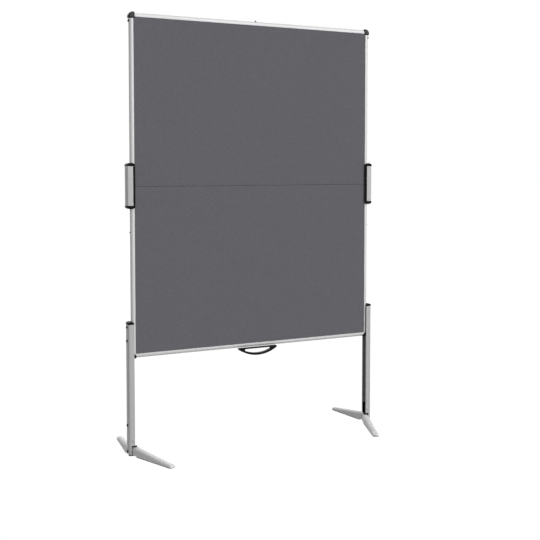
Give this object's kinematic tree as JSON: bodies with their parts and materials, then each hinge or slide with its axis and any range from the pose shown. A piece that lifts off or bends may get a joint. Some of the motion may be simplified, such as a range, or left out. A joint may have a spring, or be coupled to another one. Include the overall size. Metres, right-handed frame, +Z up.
{
  "type": "mobile pinboard",
  "caption": "Free-standing folding pinboard: two grey felt panels in an aluminium frame, locking sleeves, height-adjusting legs, swing feet and a carry handle.",
  "frame": {"origin": "on the floor, under the middle of the board", "axes": "+Z up, -Y the way the front felt faces, +X to the right of someone who looks at that felt"},
  "size_m": [1.2738, 0.5294, 1.9753],
  "materials": {
    "anodised_aluminium": "satin silver anodised",
    "silver_casting": "fine silver powder coat on a casting",
    "grey_felt": "flat needle felt",
    "core_board": "raw",
    "grey_plastic": "fine grain",
    "black_plastic": "fine grain",
    "black_rubber": "matt",
    "zinc_steel": "bright zinc plated",
    "black_steel": "black oxide"
  },
  "bodies": {
    "lower_panel": {"lower_core": "core_board", "lower_front_felt": "grey_felt", "lower_rear_felt": "grey_felt", "lower_stile_left": "anodised_aluminium", "lower_stile_right": "anodised_aluminium", "bottom_rail": "anodised_aluminium", "lower_corner_left": "black_plastic", "lower_corner_right": "black_plastic", "carry_handle": "black_plastic", "lower_hinge_leaf_left": "zinc_steel", "lower_hinge_leaf_right": "zinc_steel", "hinge_pin_left": "zinc_steel", "hinge_pin_right": "zinc_steel", "stop_screw_left": "black_steel", "stop_screw_right": "black_steel", "leg_runner_left": "black_plastic", "leg_runner_right": "black_plastic", "button_spring_left": "zinc_steel", "button_spring_right": "zinc_steel"},
    "upper_panel": {"upper_core": "core_board", "upper_front_felt": "grey_felt", "upper_rear_felt": "grey_felt", "upper_stile_left": "anodised_aluminium", "upper_stile_right": "anodised_aluminium", "top_rail": "anodised_aluminium", "upper_corner_left": "grey_plastic", "upper_corner_right": "grey_plastic", "catch_stud": "black_plastic", "upper_hinge_leaf_left": "zinc_steel", "upper_hinge_leaf_right": "zinc_steel"},
    "left_sleeve": {"sleeve_shell_left": "anodised_aluminium", "sleeve_liner_left": "black_plastic", "sleeve_top_cap_left": "black_plastic", "sleeve_bottom_cap_left": "black_plastic"},
    "right_sleeve": {"sleeve_shell_right": "anodised_aluminium", "sleeve_liner_right": "black_plastic", "sleeve_top_cap_right": "black_plastic", "sleeve_bottom_cap_right": "black_plastic"},
    "left_leg": {"leg_channel_left": "anodised_aluminium", "leg_cap_left": "black_plastic", "foot_bracket_left": "black_plastic", "bracket_bolt_left": "zinc_steel", "front_foot_pin_left": "zinc_steel", "rear_foot_pin_left": "zinc_steel"},
    "right_leg": {"leg_channel_right": "anodised_aluminium", "leg_cap_right": "black_plastic", "foot_bracket_right": "black_plastic", "bracket_bolt_right": "zinc_steel", "front_foot_pin_right": "zinc_steel", "rear_foot_pin_right": "zinc_steel"},
    "left_front_foot": {"front_foot_left": "silver_casting", "front_foot_pad_left": "black_rubber"},
    "left_rear_foot": {"rear_foot_left": "silver_casting", "rear_foot_pad_left": "black_rubber"},
    "right_front_foot": {"front_foot_right": "silver_casting", "front_foot_pad_right": "black_rubber"},
    "right_rear_foot": {"rear_foot_right": "silver_casting", "rear_foot_pad_right": "black_rubber"},
    "left_button": {"catch_button_left": "black_plastic"},
    "right_button": {"catch_button_right": "black_plastic"}
  },
  "joints": [
    {"name": "upper_panel_fold", "type": "hinge", "parent": "lower_panel", "child": "upper_panel", "pos_m": [0, 0.0175, 1.205], "axis": [-1, 0, 0], "range_deg": [0, 180]},
    {"name": "left_sleeve_slide", "type": "slide", "parent": "lower_panel", "child": "left_sleeve", "axis": [0, 0, -1], "range_m": [0, 0.1]},
    {"name": "right_sleeve_slide", "type": "slide", "parent": "lower_panel", "child": "right_sleeve", "axis": [0, 0, -1], "range_m": [0, 0.1]},
    {"name": "left_leg_slide", "type": "slide", "parent": "lower_panel", "child": "left_leg", "axis": [0, 0, 1], "range_m": [0, 0.38]},
    {"name": "right_leg_slide", "type": "slide", "parent": "lower_panel", "child": "right_leg", "axis": [0, 0, 1], "range_m": [0, 0.38]},
    {"name": "left_front_foot_swing", "type": "hinge", "parent": "left_leg", "child": "left_front_foot", "pos_m": [-0.6065, -0.0175, 0.02], "axis": [0, 0, 1], "range_deg": [-20.6, 69.4]},
    {"name": "left_rear_foot_swing", "type": "hinge", "parent": "left_leg", "child": "left_rear_foot", "pos_m": [-0.6215, 0.0175, 0.02], "axis": [0, 0, -1], "range_deg": [-7, 83]},
    {"name": "right_front_foot_swing", "type": "hinge", "parent": "right_leg", "child": "right_front_foot", "pos_m": [0.6065, -0.0175, 0.02], "axis": [0, 0, -1], "range_deg": [-20.6, 69.4]},
    {"name": "right_rear_foot_swing", "type": "hinge", "parent": "right_leg", "child": "right_rear_foot", "pos_m": [0.6215, 0.0175, 0.02], "axis": [0, 0, 1], "range_deg": [-7, 83]},
    {"name": "left_button_press", "type": "slide", "parent": "lower_panel", "child": "left_button", "axis": [1, 0, 0], "range_m": [0, 0.003], "stiffness_N_per_m": 400, "springref_m": -0.004, "deforming": ["button_spring_left"]},
    {"name": "right_button_press", "type": "slide", "parent": "lower_panel", "child": "right_button", "axis": [-1, 0, 0], "range_m": [0, 0.003], "stiffness_N_per_m": 400, "springref_m": -0.004, "deforming": ["button_spring_right"]}
  ]
}
